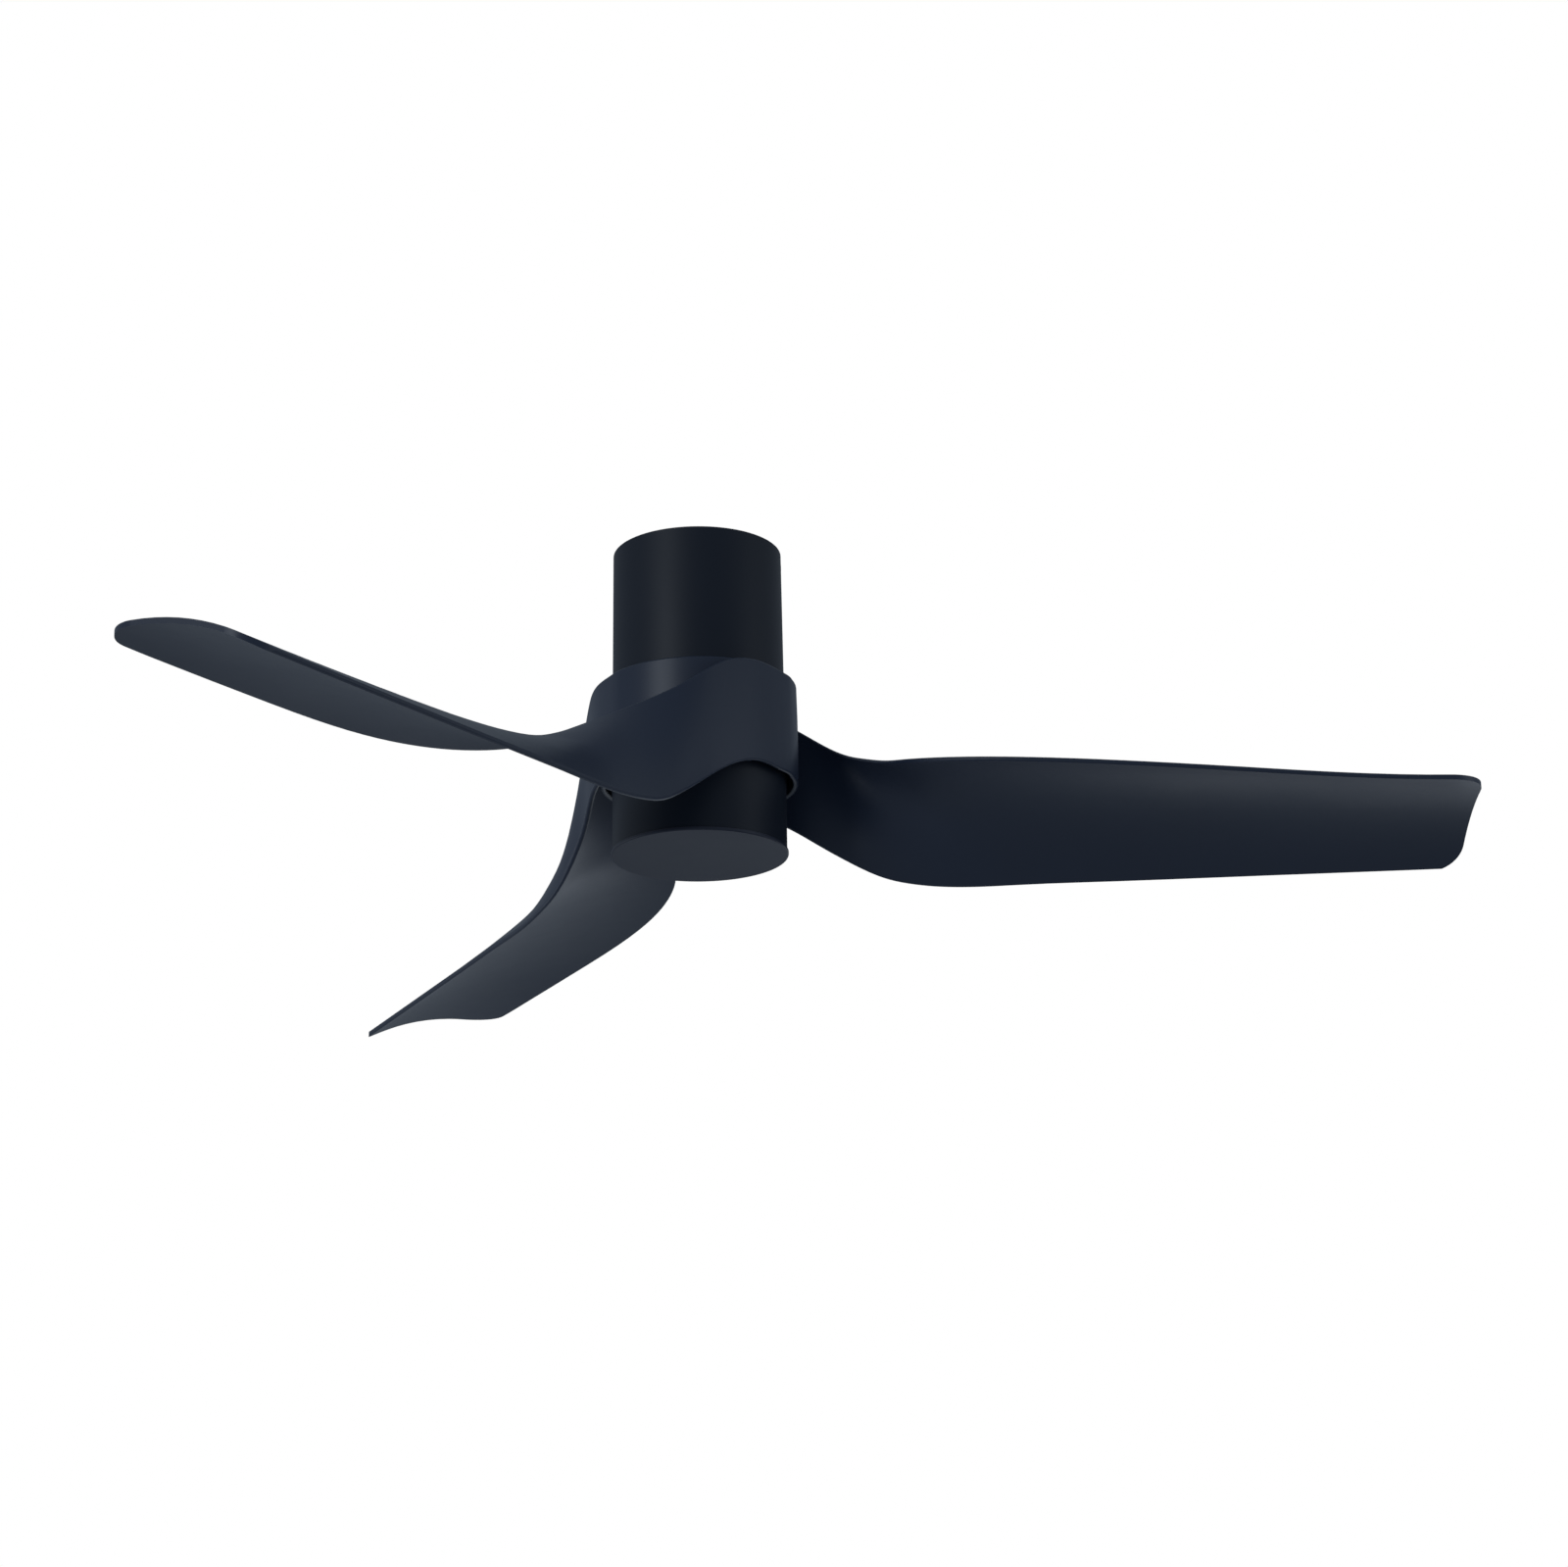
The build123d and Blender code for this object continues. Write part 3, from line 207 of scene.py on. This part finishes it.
# ---------------------------------------------------------------- control module
# Receiver and motor drive on a green circuit board, in a black moulded case with a lid.
moulded = coat("black moulded case", (0.022, 0.022, 0.024, 1), 0.5, {"Grain Depth": 0.00002})
dress(moulded, "control_case", "control_lid")

board_green, tree, shader = finish("solder mask", roughness=0.32)
place = object_place(tree)
tracks = add(
    tree,
    "TexBrick",
    {
        "Vector": place,
        "Color1": (0.02, 0.12, 0.05, 1),
        "Color2": (0.03, 0.15, 0.06, 1),
        "Mortar": (0.07, 0.24, 0.1, 1),
        "Scale": 1.0,
        "Mortar Size": 0.0003,
        "Brick Width": 0.009,
        "Row Height": 0.0028,
    },
)
join(tree, tracks["Color"], shader["Base Color"])
join(tree, bumped(tree, tracks["Fac"], depth=0.00005), shader["Normal"])
dress(board_green, "control_board")
dress(zinc, "control_screws")

# ---------------------------------------------------------------- terminal block
# Three-way screw terminal, moulded in an off-white plastic, with brass clamping screws.
dress(coat("off-white moulding", (0.78, 0.76, 0.70, 1), 0.4), "terminal_block")

# Turned metal: the fine rings that a lathe leaves, round the fan's axis.
turned, given, result = shader_group(
    "turned rings",
    [
        ("Colour", "colour", (0.7, 0.7, 0.7, 1)),
        ("Roughness", "value", 0.3),
        ("Rings per Metre", "value", 700.0),
        ("Ring Depth", "value", 0.00001),
    ],
    [("Colour", "colour"), ("Roughness", "value"), ("Normal", "vector")],
)
place = object_place(turned)
rings = add(
    turned,
    "TexWave",
    {"Vector": place, "Scale": given["Rings per Metre"], "Distortion": 0.6, "Detail": 2.0},
    wave_type="RINGS",
    rings_direction="Z",
)["Fac"]
blotches = add(turned, "TexNoise", {"Vector": place, "Scale": 60.0, "Detail": 4.0})[0]
blotched = mixed(turned, 0.15, given["Colour"], grey(turned, blotches), "OVERLAY")
join(turned, blotched, result["Colour"])
dulled = spread(turned, blotches, low=-0.06, high=0.06, start=0.3, end=0.7)
join(turned, added(turned, given["Roughness"], dulled), result["Roughness"])
join(turned, bumped(turned, rings, given["Ring Depth"]), result["Normal"])


def lathe_metal(name, colour, roughness, **group_values):
    """A bare metal with turned rings."""
    material, tree, shader = finish(name, roughness, metallic=1.0)
    feeds = {"Colour": colour, "Roughness": roughness}
    feeds.update({label.replace("_", " "): value for label, value in group_values.items()})
    surface(tree, use_group(tree, turned, feeds), shader)
    return material


dress(lathe_metal("turned brass", (0.75, 0.58, 0.27, 1), 0.28), "terminal_screws")

# ---------------------------------------------------------------- rubber mounting
# A steel plate carries the motor and floats on three black rubber bushes, each held by a
# shoulder screw.
dress(zinc, "mount_plate", "bush_screws")

rubber, tree, shader = finish("black rubber", roughness=0.75, Specular_IOR_Level=0.35)
place = object_place(tree)
bloom = add(tree, "TexNoise", {"Vector": place, "Scale": 90.0, "Detail": 5.0, "Roughness": 0.65})[0]
bloom_share = spread(tree, bloom, low=0.0, high=0.35, start=0.5, end=0.75)
bloom_colour = mixed(tree, bloom_share, (0.012, 0.012, 0.012, 1), (0.07, 0.068, 0.065, 1))
join(tree, bloom_colour, shader["Base Color"])
join(tree, bumped(tree, bloom, depth=0.00006), shader["Normal"])
dress(rubber, "isolation_bushes")

# ---------------------------------------------------------------- shaft, sleeves and nut
# The hollow shaft is turned from steel and zinc plated. Its flange is screwed to the plate,
# and the nut at its foot clamps the sleeves, inner races, stator and light can.
turned_zinc = lathe_metal("turned zinc plated steel", (0.64, 0.65, 0.66, 1), 0.32)
dress(turned_zinc, "stator_shaft", "shaft_sleeves", "shaft_washer")
dress(zinc, "shaft_flange_screws", "shaft_nut", "stator_key")

# ---------------------------------------------------------------- stator
# A stack of pressed electrical steel sheets, oiled against rust, with twelve coils of
# enamelled copper wire.
stacked, tree, shader = finish("stacked steel sheets", roughness=0.42, metallic=0.9)
place = object_place(tree)
sheets = add(
    tree,
    "TexWave",
    {"Vector": place, "Scale": 314.0, "Distortion": 0.2, "Detail": 1.0},
    wave_type="BANDS",
    bands_direction="Z",
)["Fac"]
oil = add(tree, "TexNoise", {"Vector": place, "Scale": 40.0, "Detail": 3.0})[0]
sheet_tone = mixed(tree, sheets, (0.15, 0.15, 0.155, 1), (0.34, 0.34, 0.35, 1))
oil_share = spread(tree, oil, low=0.0, high=0.5, start=0.4, end=0.7)
oiled = mixed(tree, oil_share, sheet_tone, (0.2, 0.17, 0.13, 1))
join(tree, oiled, shader["Base Color"])
join(tree, bumped(tree, sheets, depth=0.00008), shader["Normal"])
dress(stacked, "stator_core", "back_iron")

copper, tree, shader = finish("enamelled copper wire", roughness=0.3, metallic=1.0, Coat_Weight=0.6)
place = object_place(tree)
wire_turns_and_groove_shade = add(
    tree,
    "TexWave",
    {"Vector": place, "Scale": 400.0, "Distortion": 0.4, "Detail": 1.0},
    wave_type="RINGS",
    rings_direction="Z",
)["Fac"]
# The wire's colour runs from dark in the grooves between the turns to bright on their crowns. The
# dark is painted shade in the grooves, laid over the same turns' bump.
join(tree, mixed(tree, wire_turns_and_groove_shade, (0.28, 0.09, 0.035, 1), (0.72, 0.33, 0.15, 1)), shader["Base Color"])
join(tree, bumped(tree, wire_turns_and_groove_shade, depth=0.0003), shader["Normal"])
dress(copper, "stator_coils")

# ---------------------------------------------------------------- bearings
# Two deep-groove ball bearings of ground and polished chrome steel.
ground = lathe_metal("ground steel", (0.7, 0.71, 0.73, 1), 0.16, Rings_per_Metre=1500.0)
dress(ground, "bearing_inner_races", "bearing_outer_races", "bearing_balls")

# ---------------------------------------------------------------- rotor
# A cast aluminium cup and its cover, faced on a lathe. Fourteen sintered magnets are glued
# into the back iron inside it.
cast, tree, shader = finish("cast aluminium", roughness=0.48, metallic=1.0)
place = object_place(tree)
skin = add(tree, "TexNoise", {"Vector": place, "Scale": 420.0, "Detail": 5.0, "Roughness": 0.6})[0]
stain = add(tree, "TexNoise", {"Vector": place, "Scale": 25.0, "Detail": 4.0})[0]
cast_colour = mixed(tree, stain, (0.5, 0.51, 0.53, 1), (0.7, 0.7, 0.71, 1))
join(tree, cast_colour, shader["Base Color"])
stain_gloss = spread(tree, stain, low=0.4, high=0.56, start=0.3, end=0.7)
join(tree, stain_gloss, shader["Roughness"])
join(tree, bumped(tree, skin, depth=0.00006), shader["Normal"])
dress(cast, "rotor_housing", "rotor_cover", "led_tray")
dress(zinc, "rotor_cover_screws")

magnet, tree, shader = finish("sintered magnet", roughness=0.55, metallic=0.7)
place = object_place(tree)
specks = add(tree, "TexVoronoi", {"Vector": place, "Scale": 1800.0})["Distance"]
join(tree, mixed(tree, specks, (0.12, 0.12, 0.125, 1), (0.3, 0.3, 0.31, 1)), shader["Base Color"])
join(tree, bumped(tree, specks, depth=0.00003), shader["Normal"])
dress(magnet, "rotor_magnets")

# ---------------------------------------------------------------- blades
# Three equal ribbon blades, moulded in glass-filled plastic and painted in the housing's
# navy. Their roots make the collar, which is screwed to the rotor's flange from below.
blade_coat = coat("satin navy blade", (0.0165, 0.0245, 0.046, 1), 0.42, {"Wave Depth": 0.00001})
dress(blade_coat, "blade_1", "blade_2", "blade_3")
dress(zinc, "blade_screws")

# ---------------------------------------------------------------- light can
# A drawn aluminium can in the housing's paint. It stays still under the turning collar.
dress(navy_paint, "light_can")

# ---------------------------------------------------------------- light engine
# A boxed driver, and a round board of light-emitting diodes on a cast tray.
dress(moulded, "led_driver")
dress(zinc, "driver_screws", "tray_screws", "board_screws")

white_mask, tree, shader = finish("white solder mask", roughness=0.35)
place = object_place(tree)
tracks = add(
    tree,
    "TexWave",
    {"Vector": place, "Scale": 30.0, "Distortion": 0.0},
    wave_type="RINGS",
    rings_direction="Z",
)["Fac"]
track_share = spread(tree, tracks, low=0.0, high=1.0, start=0.90, end=0.94)
join(tree, mixed(tree, track_share, (0.8, 0.8, 0.78, 1), (0.7, 0.71, 0.7, 1)), shader["Base Color"])
join(tree, bumped(tree, track_share, depth=0.00004), shader["Normal"])
dress(white_mask, "led_board")

phosphor, tree, shader = finish("yellow phosphor", roughness=0.25, Coat_Weight=0.5)
place = object_place(tree)
powder = add(tree, "TexNoise", {"Vector": place, "Scale": 3000.0, "Detail": 2.0})[0]
join(tree, mixed(tree, powder, (0.85, 0.62, 0.12, 1), (0.95, 0.8, 0.3, 1)), shader["Base Color"])
dress(phosphor, "led_packages")

# ---------------------------------------------------------------- bayonet ring and cover
# The ring is moulded and pressed into the can's mouth. The smoked cover hides the diodes
# while they are off, and twists in to lock.
dress(coat("black moulded ring", (0.02, 0.02, 0.022, 1), 0.55), "bayonet_ring")
smoked = coat("smoked cover", (0.014, 0.0185, 0.035, 1), 0.5, {"Wave Depth": 0.000004})
dress(smoked, "light_cover")

# ---------------------------------------------------------------- leads
# Soft black sheaths, down the bore of the shaft.
dress(coat("soft lead sheath", (0.02, 0.02, 0.021, 1), 0.6), "motor_lead", "light_lead")

# ---------------------------------------------------------------- floor, light and camera
# A pale studio floor a good way below the fan, which throws no light back at it. Four large
# soft lights and an even white surround.
floor_depth = 4.6
floor_size = 60.0
bpy.ops.object.select_all(action="DESELECT")
bpy.ops.mesh.primitive_plane_add(size=floor_size, location=(0, 0, -floor_depth))
floor = bpy.context.object
floor.name = "floor"
floor_paint, tree, shader = finish("pale floor", roughness=0.8, Emission_Strength=0.55)
place = object_place(tree)
mottle = add(tree, "TexNoise", {"Vector": place, "Scale": 2.0, "Detail": 4.0})[0]
pale = mixed(tree, mottle, (0.80, 0.80, 0.80, 1), (0.84, 0.84, 0.84, 1))
join(tree, pale, shader["Base Color"])
join(tree, pale, shader["Emission Color"])
floor.data.materials.append(floor_paint)
floor.visible_diffuse = False
floor.visible_glossy = False

fan_middle = (0, 0, -0.2)
cool = (0.86, 0.93, 1.0)


def soft_light(name, position, size, watts):
    """A square soft light that looks at the fan's middle and that no camera sees."""
    data = bpy.data.lights.new(name, "AREA")
    data.energy, data.size, data.color = watts, size, cool
    light = bpy.data.objects.new(name, data)
    bpy.context.scene.collection.objects.link(light)
    light.location = position
    toward = Vector(fan_middle) - Vector(position)
    light.rotation_euler = toward.to_track_quat("-Z", "Y").to_euler()
    light.visible_camera = False


soft_light("front left light", (-2.2, -3.0, 0.9), size=1.6, watts=36)
soft_light("left light", (-3.2, 0.4, -0.9), size=1.6, watts=13)
soft_light("right light", (3.2, -0.6, -0.1), size=1.6, watts=13)
soft_light("back light", (1.4, 3.6, -1.6), size=2.6, watts=12)

world = bpy.data.worlds.new("studio")
bpy.context.scene.world = world
world.use_nodes = True
sky = world.node_tree
sky.nodes.clear()
seen = add(sky, "LightPath", {})["Is Camera Ray"]
# What lights the fan is dimmer than what the camera sees behind it.
fill = add(sky, "Background", {"Color": (0.74, 0.86, 1.0, 1), "Strength": 0.3})[0]
white = add(sky, "Background", {"Color": (1, 1, 1, 1), "Strength": 1.0})[0]
mixed_sky = add(sky, "MixShader", {0: seen, 1: fill, 2: white})[0]
sky_out = sky.nodes.new("ShaderNodeOutputWorld")
join(sky, mixed_sky, sky_out.inputs["Surface"])
bpy.context.scene.view_settings.view_transform = "Standard"

# The camera looks up at the fan from in front and a little to the right.
view_distance = 3.261
view_round = math.radians(5.767)
view_drop = math.radians(17.148)
aim_up = math.radians(18.212)
aim_aside = math.radians(1.325)
camera_roll = math.radians(-0.947)
lens_length = 88.61  # millimetres, as the next one
sensor_width = 36.0
cover_low = Vector((0, 0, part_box("light_cover")[0].z))
outward = Vector(
    (
        math.cos(view_drop) * math.sin(view_round),
        -math.cos(view_drop) * math.cos(view_round),
        -math.sin(view_drop),
    )
)
camera_data = bpy.data.cameras.new("camera")
camera_data.lens = lens_length
camera_data.sensor_width = sensor_width
camera_data.clip_end = 100.0
camera = bpy.data.objects.new("camera", camera_data)
bpy.context.scene.collection.objects.link(camera)
camera.matrix_world = (
    Matrix.Translation(cover_low + view_distance * outward)
    @ Matrix.Rotation(view_round - aim_aside, 4, "Z")
    @ Matrix.Rotation(math.pi / 2 + aim_up, 4, "X")
    @ Matrix.Rotation(camera_roll, 4, "Z")
)
bpy.context.scene.camera = camera
